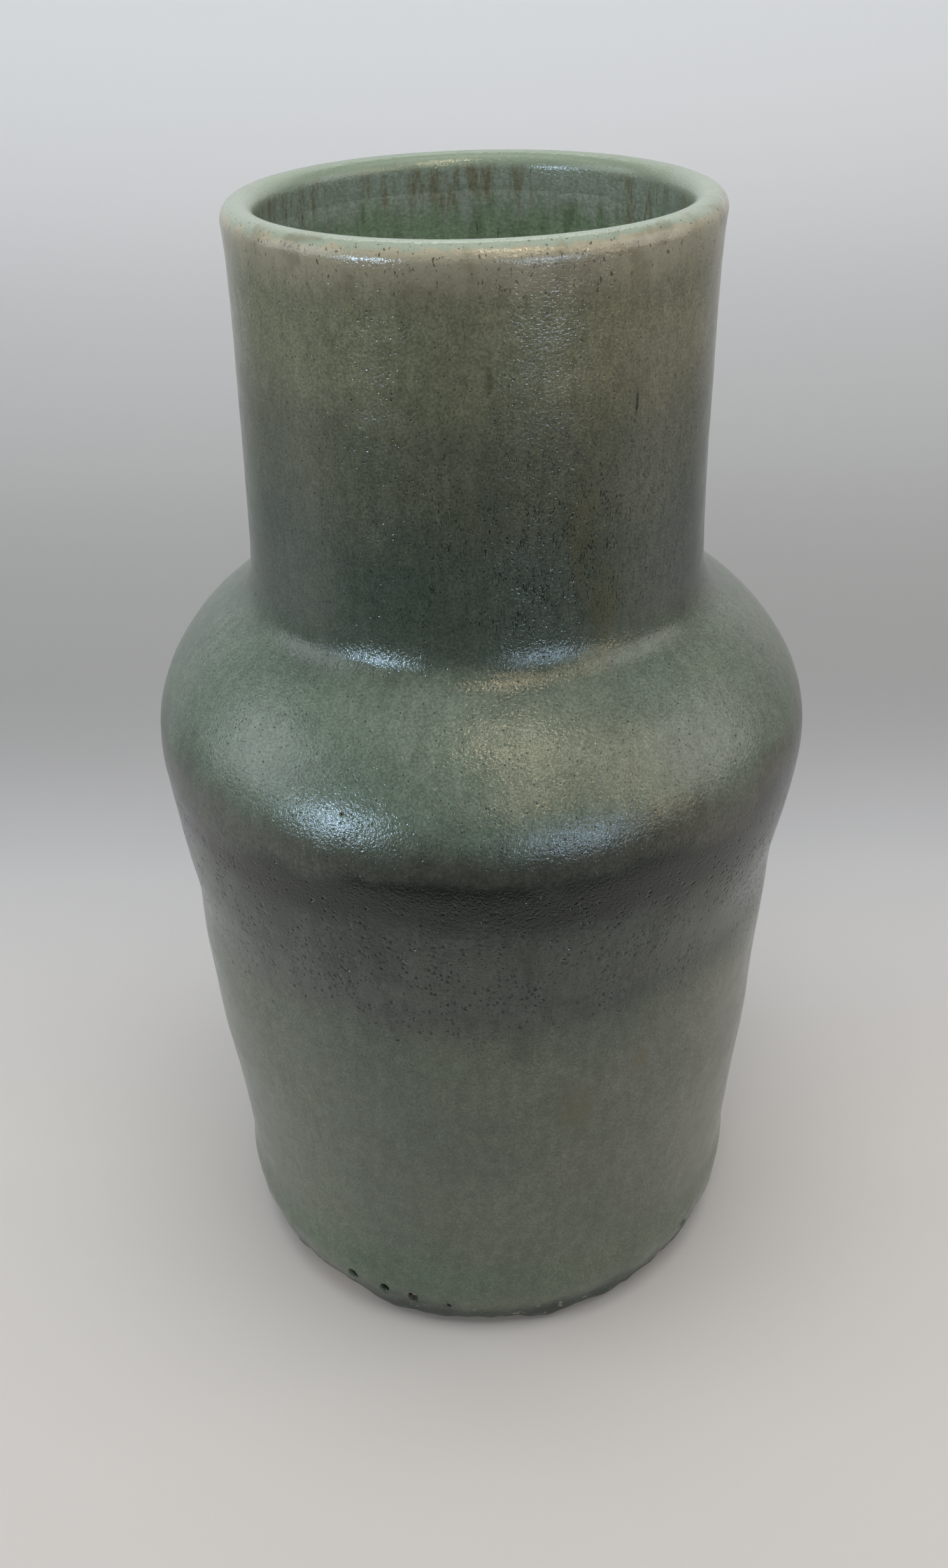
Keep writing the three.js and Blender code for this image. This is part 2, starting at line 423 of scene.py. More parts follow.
def mouth_colours(t, position, runs, height):
    """Glaze colours inside the mouth, shared by the coat that runs in and the lining that it meets."""
    streaks = t.span(t.noise(runs, 240.0, 4.0, 0.6), 0.4, 0.7)
    clouds = t.span(t.noise(position, 110.0, 4.0, 0.6), 0.4, 0.7)
    wall = on_inner_wall(t, height)
    shade = t.math("ADD", t.times(streaks, wall), t.times(clouds, t.math("SUBTRACT", 1.0, wall)))
    deep = t.mix(shade, LINING_GREEN, LINING_DEEP)
    brown = t.times(t.span(t.noise(runs, 420.0, 4.0, 0.65), 0.42, 0.66),
                    t.span(t.noise(position, 75.0, 2.0), 0.40, 0.58, 0.2, 0.9))
    run = t.mix(brown, RUN_GREY, RUN_BROWN)
    rag = t.times(t.wander(runs, 300.0, 3.0), 12 * MM)
    under_lip = t.span(t.math("ADD", height, rag), 186.5 * MM, 191.5 * MM)
    colour = t.mix(t.times(under_lip, 0.85), deep, run)
    return t.shaded(colour, t.noise(position, 1800.0, 2.0, 0.6), 0.82, 1.16)


def on_inner_wall(t, height):
    """One on the inside wall and nought on the floor, where runs have no direction."""
    return t.span(height, FLOOR_ROUND_Z, 2.5 * FLOOR_ROUND_Z)


def flecked(t, groups, position, runs, parts, colour):
    """Iron flecks over a colour, thickest low on the neck and towards +X."""
    on_neck = t.between(parts["Z"], (139, 145), (195, 155))
    towards = t.span(parts["X"], -30 * MM, 20 * MM, 0.4, 1.0)
    cover = t.math("ADD", 0.16, t.times(on_neck, towards, 0.54))
    dashes = t.group(groups["runs"], {"Position": position, "Reach": RUN_REACH, "Stretch": 0.42})[0]
    fine_flecks = t.group(groups["flecks"], {"Position": dashes, "Scale": 5200.0, "Cover": cover})[0]
    long_flecks = t.group(groups["flecks"], {
        "Position": runs, "Scale": 2700.0, "Cover": t.times(cover, 0.62)})[0]
    return t.mix(t.times(t.math("MAXIMUM", fine_flecks, long_flecks), 0.95), colour, SEA_DARK)


def pitted(t, groups, position, runs, height, colour):
    """Pinholes all over, and craters, blotches and dark grains in the band under the shoulder.

    Gives the colour, and how deep the pits go.
    """
    fine_holes = t.group(groups["pinholes"], {
        "Position": position, "Spacing": 0.78 * MM, "Radius": 0.17, "Share": 0.75})
    holes = t.group(groups["pinholes"], {
        "Position": position, "Spacing": 4.2 * MM, "Radius": 0.05, "Share": 0.5})
    hole_mask = t.math("MAXIMUM", holes["Mask"], fine_holes["Mask"])
    on_body = t.span(height, 55 * MM, 85 * MM, 0.25, 1.0)
    colour = t.mix(t.times(hole_mask, on_body, 0.85), colour, PINHOLE_DARK)

    in_band = t.between(height, (74, 88), (109, 102))
    share = t.times(in_band, t.span(t.noise(position, 160.0, 3.0), 0.38, 0.56), 0.85)
    craters = t.group(groups["pinholes"], {
        "Position": position, "Spacing": 0.9 * MM, "Radius": 0.28, "Share": share})
    colour = t.mix(t.times(craters["Mask"], 0.8), colour, SEA_DARK)
    blotches = t.span(t.noise(runs, 260.0, 4.0, 0.7), 0.46, 0.62)
    colour = t.mix(t.times(blotches, in_band, 0.45), colour, SEA_DARK)
    at_edge = t.between(height, (94, 101), (118, 107))
    grains = t.span(t.noise(position, 1300.0, 3.0, 0.7), 0.46, 0.62)
    colour = t.mix(t.times(grains, at_edge, 0.65), colour, SEA_DARK)

    depth = t.math("ADD", t.times(holes["Depth"], 2.0), t.times(fine_holes["Depth"], 0.6))
    return colour, t.math("ADD", depth, t.times(craters["Depth"], 2.2))


def lipped(t, position, normal, runs, parts, colour):
    """Buff where the glaze thins over the lip, pale green on top of it with painted shade darkening it
    towards the back, and the runs inside the mouth.
    """
    height = parts["Z"]
    flat = t.add("ShaderNodeCombineXYZ", {0: parts["X"], 1: parts["Y"]}).outputs[0]
    facing = t.vector("DOT_PRODUCT", normal, t.vector("NORMALIZE", flat))
    rag = t.wander(runs, 330.0, 4.0, 0.6)
    edge = t.math("ADD", height, t.times(rag, 5 * MM))
    colour = t.mix(t.span(edge, 189 * MM, 197 * MM, 0, 0.7), colour, BUFF_BREAK)

    top = t.times(t.span(t.math("ADD", facing, rag), 0.86, 0.62), t.span(height, 190 * MM, 194 * MM))
    # The top of the lip darkens towards the back (+Y): painted shade
    top_colour = t.mix(t.span(parts["Y"], -5 * MM, 30 * MM), LIP_GREEN, LIP_BACK_PAINTED_SHADE)
    colour = t.mix(t.times(top, 0.9), colour, top_colour)

    on_edge = t.times(t.span(height, 188 * MM, 194 * MM), t.span(facing, 0.1, 0.6, 0.25, 1.0))
    specks = t.noise(t.vector("MULTIPLY", position, (1.0, 1.0, 0.5)), 2000.0, 2.0, 0.5)
    colour = t.mix(t.times(t.span(specks, 0.63, 0.70), on_edge, 0.75), colour, IRON_BROWN)
    stain = t.span(t.noise(position, 150.0, 3.0), 0.54, 0.66)
    colour = t.mix(t.times(stain, on_edge, 0.45), colour, RUN_BROWN)
    inside = t.times(t.span(facing, -0.75, -0.98), t.span(height, 196.5 * MM, 194.5 * MM))
    return t.mix(inside, colour, mouth_colours(t, position, runs, height))


def footed(t, groups, position, runs, height, colour):
    """The pooled edge at the foot, dark green with buff showing through, and painted shade in the burst
    holes.

    Gives the colour, and a mask of the pooled edge.
    """
    rag = t.times(t.wander(runs, 500.0, 3.0, 0.6), 3 * MM)
    pooled = t.span(t.math("ADD", height, rag), 8.0 * MM, 3.6 * MM)
    colour = t.mix(t.times(pooled, 0.9), colour, POOLED_GREEN)
    bare = t.span(t.noise(position, 700.0, 2.0, 0.6), 0.60, 0.68)
    colour = t.mix(t.times(bare, pooled, 0.6), colour, BUFF_BREAK)
    for angle, z, radius in FOOT_HOLES:
        half_width = radius * HOLE_SHADOW * MM
        mask = t.group(groups["spot"], {
            "Position": position, "Centre": place_on(angle, z, HOLE_FLOOR_RADIUS),
            "Half Width": half_width, "Half Length": half_width * HOLE_STRETCH, "Ragged": 0.1})[0]
        # Painted shade in each hole
        colour = t.mix(mask, colour, HOLE_PAINTED_SHADE)
    return colour, pooled


def make_outside_glaze(groups):
    """Satin celadon over the outside: zones, mottling, runs, flecks, pinholes, the lip and the foot, with
    painted shade under the shoulder, at the foot and front of the neck, on the back of the lip top and in
    the foot holes.
    """
    material, t, shader = new_material("celadon_outside")
    coordinates = t.add("ShaderNodeTexCoord").outputs
    position = coordinates["Object"]
    parts = t.add("ShaderNodeSeparateXYZ", {0: position}).outputs
    height = parts["Z"]
    runs = t.group(groups["runs"], {"Position": position, "Reach": RUN_REACH, "Stretch": 0.25})[0]

    # The zones wander up and down, and more so behind
    wander = t.times(t.wander(position, 70.0, 3.0), 12 * MM)
    behind = t.span(parts["Y"], -15 * MM, 30 * MM)
    back_wander = t.times(t.wander(position, 26.0, 2.0), behind, 36 * MM)
    wander = t.math("ADD", wander, back_wander)
    # The zones paint shade under the shoulder and at the foot of the neck
    colour = zone_colours(t, t.math("ADD", height, wander))
    colour = glaze_tint(t, position, runs, colour)
    # One of these marks is painted shade at the front of the neck
    for angle, z, radius, wide, long, tint, strength in OUTSIDE_MARKS:
        mask = t.group(groups["spot"], {
            "Position": position, "Centre": place_on(angle, z, radius),
            "Half Width": wide * MM, "Half Length": long * MM})[0]
        colour = t.mix(t.times(mask, strength), colour, tint)
    colour = flecked(t, groups, position, runs, parts, colour)
    colour, depth = pitted(t, groups, position, runs, height, colour)
    colour = lipped(t, position, coordinates["Normal"], runs, parts, colour)
    colour, pooled = footed(t, groups, position, runs, height, colour)
    t.feed(shader.inputs["Base Color"], colour)

    gloss = t.span(t.noise(position, 300.0, 3.0), 0.3, 0.7, 0.14, 0.22)
    t.feed(shader.inputs["Roughness"], t.math("ADD", gloss, t.times(pooled, 0.15)))
    shader.inputs["IOR"].default_value = 1.52

    # Satin grain, wrinkled more up the neck, and calmer there as a whole
    grain = t.group(groups["grain"], {
        "Position": position, "Dimple Scale": 1900.0, "Grit Scale": 4200.0, "Grit": 0.4})[0]
    wrinkle = t.noise(t.vector("MULTIPLY", position, (1.0, 1.0, 1.5)), 1900.0, 2.0, 0.6)
    wrinkled = t.span(height, 136 * MM, 170 * MM, 0.2, 0.6)
    relief = t.math("SUBTRACT", t.math("ADD", grain, t.times(wrinkle, wrinkled)), depth)
    relief = t.times(relief, t.span(height, 134 * MM, 146 * MM, 1.0, 0.6))
    bump = t.add("ShaderNodeBump", {"Height": relief, "Distance": 0.09 * MM, "Strength": 1.0})
    t.feed(shader.inputs["Normal"], bump.outputs[0])
    return material


def make_inside_glaze(groups):
    """The lining: soft celadon with darker runs and brown flecks."""
    material, t, shader = new_material("celadon_inside")
    position = t.add("ShaderNodeTexCoord").outputs["Object"]
    height = t.add("ShaderNodeSeparateXYZ", {0: position}).outputs["Z"]
    runs = t.group(groups["runs"], {"Position": position, "Reach": RUN_REACH, "Stretch": 0.25})[0]
    colour = mouth_colours(t, position, runs, height)
    flecks = t.group(groups["flecks"], {
        "Position": runs, "Scale": 1000.0, "Cover": t.times(on_inner_wall(t, height), 0.35)})[0]
    colour = t.mix(t.times(flecks, 0.6), colour, IRON_BROWN)
    t.feed(shader.inputs["Base Color"], colour)
    cloud = t.noise(position, 60.0, 4.0, 0.6)
    t.feed(shader.inputs["Roughness"], t.span(cloud, 0.3, 0.7, 0.22, 0.36))
    grain = t.group(groups["grain"], {
        "Position": position, "Dimple Scale": 700.0, "Grit Scale": 2200.0, "Grit": 0.3})[0]
    bump = t.add("ShaderNodeBump", {"Height": grain, "Distance": 0.12 * MM, "Strength": 1.0})
    t.feed(shader.inputs["Normal"], bump.outputs[0])
    return material


def make_bare_clay(groups):
    """Unglazed buff stoneware: groggy, dry and a little toasted."""
    material, t, shader = new_material("bare_stoneware")
    position = t.add("ShaderNodeTexCoord").outputs["Object"]
    cloud = t.noise(position, 55.0, 4.0, 0.6)
    colour = t.mix(cloud, srgb(176, 152, 120), srgb(203, 184, 154))
    grog = t.noise(position, 1500.0, 2.0, 0.6)
    colour = t.mix(t.span(grog, 0.6, 0.72, 0, 0.6), colour, srgb(120, 94, 68))
    iron = t.group(groups["flecks"], {"Position": position, "Scale": 1100.0, "Cover": 0.3})[0]
    colour = t.mix(t.times(iron, 0.7), colour, IRON_BROWN)
    t.feed(shader.inputs["Base Color"], colour)
    shader.inputs["Roughness"].default_value = 0.9
    bump = t.add("ShaderNodeBump", {"Height": grog, "Distance": 0.18 * MM, "Strength": 1.0})
    t.feed(shader.inputs["Normal"], bump.outputs[0])
    return material


# --- Shapes -----------------------------------------------------------------------------------------

def smooth_line(points, spacing):
    """Points about spacing apart on a smooth curve through the given points, all in the same unit."""
    knots = np.array(points, float)
    lengths = np.linalg.norm(np.diff(knots, axis=0), axis=1)
    along = np.concatenate([[0], np.cumsum(lengths)])
    slopes = np.gradient(knots, along, axis=0)
    count = max(int(round(along[-1] / spacing)), 2)
    places = np.linspace(0, along[-1], count + 1)
    index = np.clip(np.searchsorted(along, places, side="right") - 1, 0, len(lengths) - 1)
    width = lengths[index][:, None]
    u = ((places - along[index]) / lengths[index])[:, None]
    start, end = knots[index], knots[index + 1]
    rise, fall = slopes[index] * width, slopes[index + 1] * width
    return ((2 * u**3 - 3 * u**2 + 1) * start + (u**3 - 2 * u**2 + u) * rise
            + (3 * u**2 - 2 * u**3) * end + (u**3 - u**2) * fall)


def joined(*lines):
    """Lines end to end, without the point that each shares with the one before."""
    return np.concatenate([lines[0]] + [line[1:] for line in lines[1:]])


def sunk(line, depth):
    """A line moved to the left of its travel, into the wall."""
    travel = np.gradient(line, axis=0)
    travel /= np.linalg.norm(travel, axis=1)[:, None]
    return line + depth * np.stack([-travel[:, 1], travel[:, 0]], axis=1)


def ring_points(radii, heights, segments):
    """Rings of points about the axis. Radii and heights are one number a ring, or one a point."""
    turn = np.arange(segments) * FULL_TURN / segments
    radii, heights = (
        np.broadcast_to(np.asarray(values, float).reshape(len(values), -1), (len(values), segments))
        for values in (radii, heights))
    return np.stack([radii * np.cos(turn), radii * np.sin(turn), heights], axis=2)


def turned_mesh(name, rings, closed):
    """A mesh of rings. A closed one joins last ring to first, and any other has a pole at each end."""
    count, segments, _ = rings.shape
    points = rings.reshape(-1, 3)
    here = np.arange(segments)
    after = (here + 1) % segments
    starts = np.arange(count if closed else count - 1)
    low = (starts * segments)[:, None]
    high = (((starts + 1) % count) * segments)[:, None]
    quads = np.stack([low + here, low + after, high + after, high + here], axis=2).reshape(-1, 4)
    faces = quads.tolist()
    if not closed:
        first_pole, last_pole = len(points), len(points) + 1
        poles = [[0, 0, rings[0, :, 2].mean()], [0, 0, rings[-1, :, 2].mean()]]
        points = np.concatenate([points, poles])
        end = (count - 1) * segments
        faces += [[first_pole, after[i], here[i]] for i in range(segments)]
        faces += [[end + here[i], end + after[i], last_pole] for i in range(segments)]
    mesh = bpy.data.meshes.new(name)
    mesh.from_pydata(points.tolist(), [], [[int(v) for v in face] for face in faces])
    mesh.validate()
    mesh.shade_smooth()
    piece = bpy.data.objects.new(name, mesh)
    bpy.context.scene.collection.objects.link(piece)
    return piece


def unevenness_tree():
    """Geometry nodes that press a turned piece out of true.

    Sway is a broad wander, rings are the throwing marks, lumps are at the foot, the crease runs round
    the wall on a tilt, the hollow is on the +X side, the neck leans, and the rim is not level.
    """
    tree = bpy.data.node_groups.new("thrown_unevenness", "GeometryNodeTree")
    tree.interface.new_socket("Geometry", in_out="INPUT", socket_type="NodeSocketGeometry")
    for name in ("Sway", "Sway Size", "Ring Depth", "Ring Pitch", "Lump Depth", "Lump Size", "Lump Top",
                 "Crease Depth", "Crease Height", "Crease Width", "Hollow Depth", "Hollow Height",
                 "Hollow Width", "Lean Start", "Rim Start", "Rim Drop", "Seed"):
        tree.interface.new_socket(name, in_out="INPUT", socket_type="NodeSocketFloat")
    for name in ("Crease Tilt", "Lean", "Rim Tilt"):
        tree.interface.new_socket(name, in_out="INPUT", socket_type="NodeSocketVector")
    tree.interface.new_socket("Material", in_out="INPUT", socket_type="NodeSocketMaterial")
    tree.interface.new_socket("Geometry", in_out="OUTPUT", socket_type="NodeSocketGeometry")
    t = Tree(tree)
    given = tree.nodes.new("NodeGroupInput").outputs
    position = t.add("GeometryNodeInputPosition").outputs[0]
    parts = t.add("ShaderNodeSeparateXYZ", {0: position}).outputs
    x, y, z = parts["X"], parts["Y"], parts["Z"]
    outward = t.vector("NORMALIZE", t.add("ShaderNodeCombineXYZ", {0: x, 1: y}).outputs[0])

    def bulge(size, depth):
        """Smooth noise about zero, as wide as size and as deep as depth."""
        shift = t.add("ShaderNodeCombineXYZ", {0: given["Seed"]}).outputs[0]
        place = t.vector("ADD", position, shift)
        value = t.wander(place, t.math("DIVIDE", 1.0, size), 1.0, 0.4)
        return t.times(value, t.math("MULTIPLY", depth, 2.0))

    sway = bulge(given["Sway Size"], given["Sway"])
    lumps = t.times(bulge(given["Lump Size"], given["Lump Depth"]), t.span(z, given["Lump Top"], 0.0))
    turn = t.math("ARCTAN2", y, x)
    phase = t.math("ADD", t.math("DIVIDE", t.times(z, FULL_TURN), given["Ring Pitch"]), turn)
    rings = t.times(t.math("SINE", phase), given["Ring Depth"])
    middle = t.math("ADD", given["Crease Height"], t.vector("DOT_PRODUCT", position, given["Crease Tilt"]))

    def dent(middle, width, depth):
        """A bell-shaped dent round the pot at one height."""
        away = t.math("DIVIDE", t.math("SUBTRACT", z, middle), width)
        bell = t.math("EXPONENT", t.times(away, away, -1.0))
        return t.times(bell, t.math("MULTIPLY", depth, -1.0))

    crease = dent(middle, given["Crease Width"], given["Crease Depth"])
    side = t.math("MAXIMUM", t.math("COSINE", turn), 0.0)
    hollow = t.times(dent(given["Hollow Height"], given["Hollow Width"], given["Hollow Depth"]), side)
    push = t.math("ADD", t.math("ADD", sway, rings), t.math("ADD", lumps, t.math("ADD", crease, hollow)))
    lean = t.scaled(given["Lean"], t.span(z, given["Lean Start"], TOP_Z))
    drop = t.math("ADD", given["Rim Drop"], t.vector("DOT_PRODUCT", position, given["Rim Tilt"]))
    fall = t.times(drop, t.span(z, given["Rim Start"], TOP_Z), -1.0)
    shift = t.vector("ADD", lean, t.add("ShaderNodeCombineXYZ", {2: fall}).outputs[0])
    moved = t.add("GeometryNodeSetPosition", {
        "Geometry": given["Geometry"],
        "Offset": t.vector("ADD", t.scaled(outward, push), shift)}).outputs[0]
    real = t.add("GeometryNodeRealizeInstances", {0: moved}).outputs[0]
    done = t.add("GeometryNodeSetMaterial", {"Geometry": real, "Material": given["Material"]}).outputs[0]
    result = tree.nodes.new("NodeGroupOutput")
    t.feed(result.inputs[0], done)
    return tree


# How the whole pot is out of true. The outside and the lining share it, so the wall keeps its thickness
POT_UNEVENNESS = {
    "Sway": 0.8 * MM, "Sway Size": 55 * MM, "Seed": 0.4,
    "Crease Height": 87.5 * MM, "Crease Width": 9 * MM, "Crease Tilt": (0.085, 0.16, 0),
    "Hollow Depth": 1.0 * MM, "Hollow Height": 76 * MM, "Hollow Width": 26 * MM,
    "Lean": (0.35 * MM, 0, 0), "Lean Start": 146 * MM,
    "Rim Start": 188 * MM, "Rim Drop": 0.58 * MM, "Rim Tilt": (-0.0086, 0.0129, 0)}


def pressed(piece, tree, values):
    """The piece as a plain mesh after the tree has run on it with these input values."""
    modifier = piece.modifiers.new("unevenness", "NODES")
    modifier.node_group = tree
    sockets = {item.name: item.identifier for item in tree.interface.items_tree if item.in_out == "INPUT"}
    for name, value in values.items():
        modifier[sockets[name]] = value
    graph = bpy.context.evaluated_depsgraph_get()
    mesh = bpy.data.meshes.new_from_object(piece.evaluated_get(graph), depsgraph=graph)
    piece.modifiers.remove(modifier)
    piece.data = mesh
    mesh.shade_smooth()
    return piece


def around(segments, lobes, seed):
    """A smooth wander round the pot, about -1 to 1, one value a point."""
    turn = np.arange(segments) * FULL_TURN / segments
    return np.array([
        1.6 * noise.noise(Vector((math.cos(a) * lobes, math.sin(a) * lobes, seed))) for a in turn])


# Points in each ring
GLAZE_SEGMENTS = 384
LINING_SEGMENTS = 288
CLAY_SEGMENTS = 192

# Distance between rings, in millimetres
GLAZE_SPACING = 1.1
LINING_SPACING = 1.4
CLAY_SPACING = 0.9

# Angle round the pot of each point in a ring of the outside
TURN_OF_POINT = np.arange(GLAZE_SEGMENTS) * FULL_TURN / GLAZE_SEGMENTS

# Places where the foot glaze stops short: angle, spread (degrees), height (mm)
FOOT_NOTCHES = [(-134, 14, 2.3), (-36, 7, 0.7), (35, 9, 0.8), (118, 12, 1.0)]


def lip_line(steps):
    """The half round of the lip in metres, from the outside to the mouth."""
    turn = np.linspace(0, math.pi, steps + 1)
    radius, height = LIP_CENTRE
    return np.stack([radius + LIP_ROUND * np.cos(turn), height + LIP_ROUND * np.sin(turn)], axis=1)


def glaze_front():
    """Rings of the coat's outer face, from the ragged edge at the foot, over the lip, to the mouth."""
    outer = joined(smooth_line(OUTSIDE_OUTLINE, GLAZE_SPACING) * MM, lip_line(12))
    ragged = around(GLAZE_SEGMENTS, 5.0, 3.7) + 0.5 * around(GLAZE_SEGMENTS, 16.0, 9.1)
    ragged = GLAZE_FOOT_WANDER * np.clip(ragged, -0.7, 1.6)
    near_foot = np.clip(1 - outer[:, 1] / GLAZE_FOOT_HEIGHT, 0, 1)[:, None]
    for angle, spread, lift in FOOT_NOTCHES:
        gap = (np.degrees(TURN_OF_POINT) - angle + 180) % 360 - 180
        ragged = ragged + lift * MM * np.exp(-((gap / spread) ** 2))
    heights = outer[:, 1][:, None] + near_foot * ragged[None, :]
    return outer, ring_points(outer[:, 0], heights, GLAZE_SEGMENTS)


def glaze_skirt():
    """Rings of the ragged skirt of runs that the coat ends in, inside the mouth."""
    drop = RUN_START_DROP + RUN_LENGTH * np.clip(around(GLAZE_SEGMENTS, 9.0, 5.2), 0, 1) ** 1.5
    steps = np.linspace(0, 1, 12)[1:]
    heights = LIP_CENTRE[1] - steps[:, None] * drop[None, :]
    return ring_points(MOUTH_RADIUS + SKIRT_TAPER * steps**2, heights, GLAZE_SEGMENTS)


def outside_glaze(tree, material):
    """The outside coat: a closed shell from a ragged foot roll, over the lip, to runs inside the mouth."""
    outer, front = glaze_front()
    inner_back = ring_points([MOUTH_RADIUS + GLAZE_THICKNESS] * 2,
                             [LIP_CENTRE[1] - RUN_START_DROP / 2, LIP_CENTRE[1]], GLAZE_SEGMENTS)
    back_line = sunk(outer, GLAZE_THICKNESS)[4::16][::-1]
    back = ring_points(back_line[:, 0], back_line[:, 1], GLAZE_SEGMENTS)
    rings = np.concatenate([front, glaze_skirt(), inner_back, back])
    piece = turned_mesh("glaze_outside", rings, closed=True)
    burst_holes(piece.data, FOOT_HOLES)
    return pressed(piece, tree, POT_UNEVENNESS | {
        "Ring Depth": 0.012 * MM, "Ring Pitch": 6.5 * MM,
        "Lump Depth": 0.9 * MM, "Lump Size": 7 * MM, "Lump Top": 19 * MM,
        "Crease Depth": 0.85 * MM, "Material": material})


def burst_holes(mesh, holes):
    """Dents round holes into the outer face, on a locally finer mesh."""
    built = bmesh.new()
    built.from_mesh(mesh)
    behind_face = -0.8 * MM
    for angle, height, radius in holes:
        centre = Vector(place_on(angle, height, FOOT_ROLL_RADIUS))
        outward = Vector((centre.x, centre.y, 0)).normalized()
        reach = radius * MM * 2.6
        for cuts in (1, 2):
            fine_reach = reach + 1.2 * MM / cuts
            near = {v for v in built.verts
                    if (v.co - centre).length < fine_reach and (v.co - centre).dot(outward) > behind_face}
            edges = [e for e in built.edges if all(v in near for v in e.verts)]
            bmesh.ops.subdivide_edges(built, edges=edges, cuts=cuts, use_grid_fill=True)
        for v in built.verts:
            away = v.co - centre
            if away.length > reach * 1.4 or away.dot(outward) < behind_face:
                continue
            flat = away - outward * away.dot(outward)
            across = math.hypot(flat.x, flat.y, flat.z / HOLE_STRETCH) / (radius * MM)
            if across < 1.0:
                v.co -= outward * HOLE_DEPTH * min(1.0, (1 - across**2) * 2.2)
            elif across < 1.6:
                v.co += outward * HOLE_RIM * math.sin((across - 1) / 0.6 * math.pi)
    built.to_mesh(mesh)
    built.free()


def lining(tree, material):
    """The inside coat: a closed shell over the wall and the floor."""
    line = smooth_line(LINING_OUTLINE + FLOOR_OUTLINE[1:], LINING_SPACING) * MM
    back_line = sunk(line, GLAZE_THICKNESS)[::8][::-1]
    back_line = np.maximum(back_line, [1.2 * MM, 0])
    rings = np.concatenate([back_line, line])
    rings = ring_points(rings[:, 0], rings[:, 1], LINING_SEGMENTS)
    piece = turned_mesh("glaze_lining", rings, closed=False)
    return pressed(piece, tree, POT_UNEVENNESS | {
        "Ring Depth": 0.04 * MM, "Ring Pitch": 8.5 * MM,
        "Lump Depth": 0.0, "Lump Size": 7 * MM, "Lump Top": 19 * MM,
        "Crease Depth": 0.0, "Material": material})


def foot_clay(tree, material):
    """The bare clay slab that the vase stands on, with a turned recess underneath."""
    side = smooth_line(FOOT_CLAY_OUTLINE, CLAY_SPACING)
    top = np.stack([np.linspace(side[-1, 0], 1.0, 12), np.full(12, side[-1, 1])], axis=1)
    rings = np.maximum(joined(side, top), 0) * MM
    rings = ring_points(rings[:, 0], rings[:, 1], CLAY_SEGMENTS)
    piece = turned_mesh("foot_clay", rings, closed=False)
    return pressed(piece, tree, POT_UNEVENNESS | {
        "Sway": 0.15 * MM, "Sway Size": 20 * MM, "Ring Depth": 0.0, "Ring Pitch": 10 * MM,
        "Lump Depth": 0.12 * MM, "Lump Size": 4 * MM, "Lump Top": 19 * MM,
        "Crease Depth": 0.0, "Hollow Depth": 0.0, "Seed": 5.1, "Material": material})


# --- Stage ------------------------------------------------------------------------------------------

# Where the camera is, and how far it looks down, turns aside and rolls, in radians
CAMERA_PLACE = (-0.0006, -0.2398, 0.2435)
CAMERA_DOWN = 0.559
CAMERA_ASIDE = -0.0031
CAMERA_ROLL = 0.0196

# The camera's sensor and lens, in millimetres
SENSOR_WIDTH = 36
LENS = 35.06494


def make_camera():
    """A hand-held view from above the front of the vase."""
    camera = bpy.data.objects.new("camera", bpy.data.cameras.new("camera"))
    camera.data.sensor_width = SENSOR_WIDTH
    camera.data.lens = LENS
    camera.data.clip_start = 0.01
    level = math.cos(CAMERA_DOWN)
    forward = Vector((
        math.sin(CAMERA_ASIDE) * level, math.cos(CAMERA_ASIDE) * level, -math.sin(CAMERA_DOWN)))
    right = Vector((math.cos(CAMERA_ASIDE), -math.sin(CAMERA_ASIDE), 0))
    down = forward.cross(right)
    image_x = right * math.cos(CAMERA_ROLL) + down * math.sin(CAMERA_ROLL)
    image_up = right * math.sin(CAMERA_ROLL) - down * math.cos(CAMERA_ROLL)
    turn = Matrix((image_x, image_up, -forward)).transposed()
    camera.matrix_world = Matrix.Translation(CAMERA_PLACE) @ turn.to_4x4()
    bpy.context.scene.collection.objects.link(camera)
    bpy.context.scene.camera = camera


# The backdrop: half its width, where it starts and bends on Y, the bend's radius, and its top
BACKDROP_HALF_WIDTH = 0.9
BACKDROP_FRONT = -0.16
BACKDROP_BEND = 0.22
BACKDROP_RADIUS = 0.22
BACKDROP_TOP = 0.7

# How far under the vase the backdrop lies
BACKDROP_GAP = 0.2 * MM

# Painted shade on the paper along the sweep, darkest where it starts to bend and lighter up the wall, each
# at a distance Y + PAPER_RISE * Z
PAPER_RISE = 1.6
PAPER_PAINTED_SHADE = [
    (0.0, srgb(195, 191, 187)), (0.105, srgb(174, 173, 174)), (0.16, srgb(152, 151, 152)),
    (0.23, srgb(142, 142, 141)), (0.38, srgb(154, 154, 154)), (0.56, srgb(178, 178, 180)),
    (0.75, srgb(203, 205, 207))]


def make_backdrop():
    """A pale seamless sweep, floor, curve and back wall, with painted shade making it greyer where it
    bends.
    """
    line = [(BACKDROP_FRONT, 0.0), (0.0, 0.0), (BACKDROP_BEND, 0.0)]
    for step in range(1, 17):
        turn = step / 16 * math.pi / 2
        line.append((BACKDROP_BEND + BACKDROP_RADIUS * math.sin(turn),
                     BACKDROP_RADIUS - BACKDROP_RADIUS * math.cos(turn)))
    line.append((BACKDROP_BEND + BACKDROP_RADIUS, BACKDROP_TOP))
    sides = (-BACKDROP_HALF_WIDTH, BACKDROP_HALF_WIDTH)
    points = [(x, y, z - BACKDROP_GAP) for y, z in line for x in sides]
    faces = [(2 * i, 2 * i + 1, 2 * i + 3, 2 * i + 2) for i in range(len(line) - 1)]
    mesh = bpy.data.meshes.new("backdrop")
    mesh.from_pydata(points, [], faces)
    mesh.shade_smooth()
    sweep = bpy.data.objects.new("backdrop", mesh)
    bpy.context.scene.collection.objects.link(sweep)
    mesh.materials.append(make_paper())


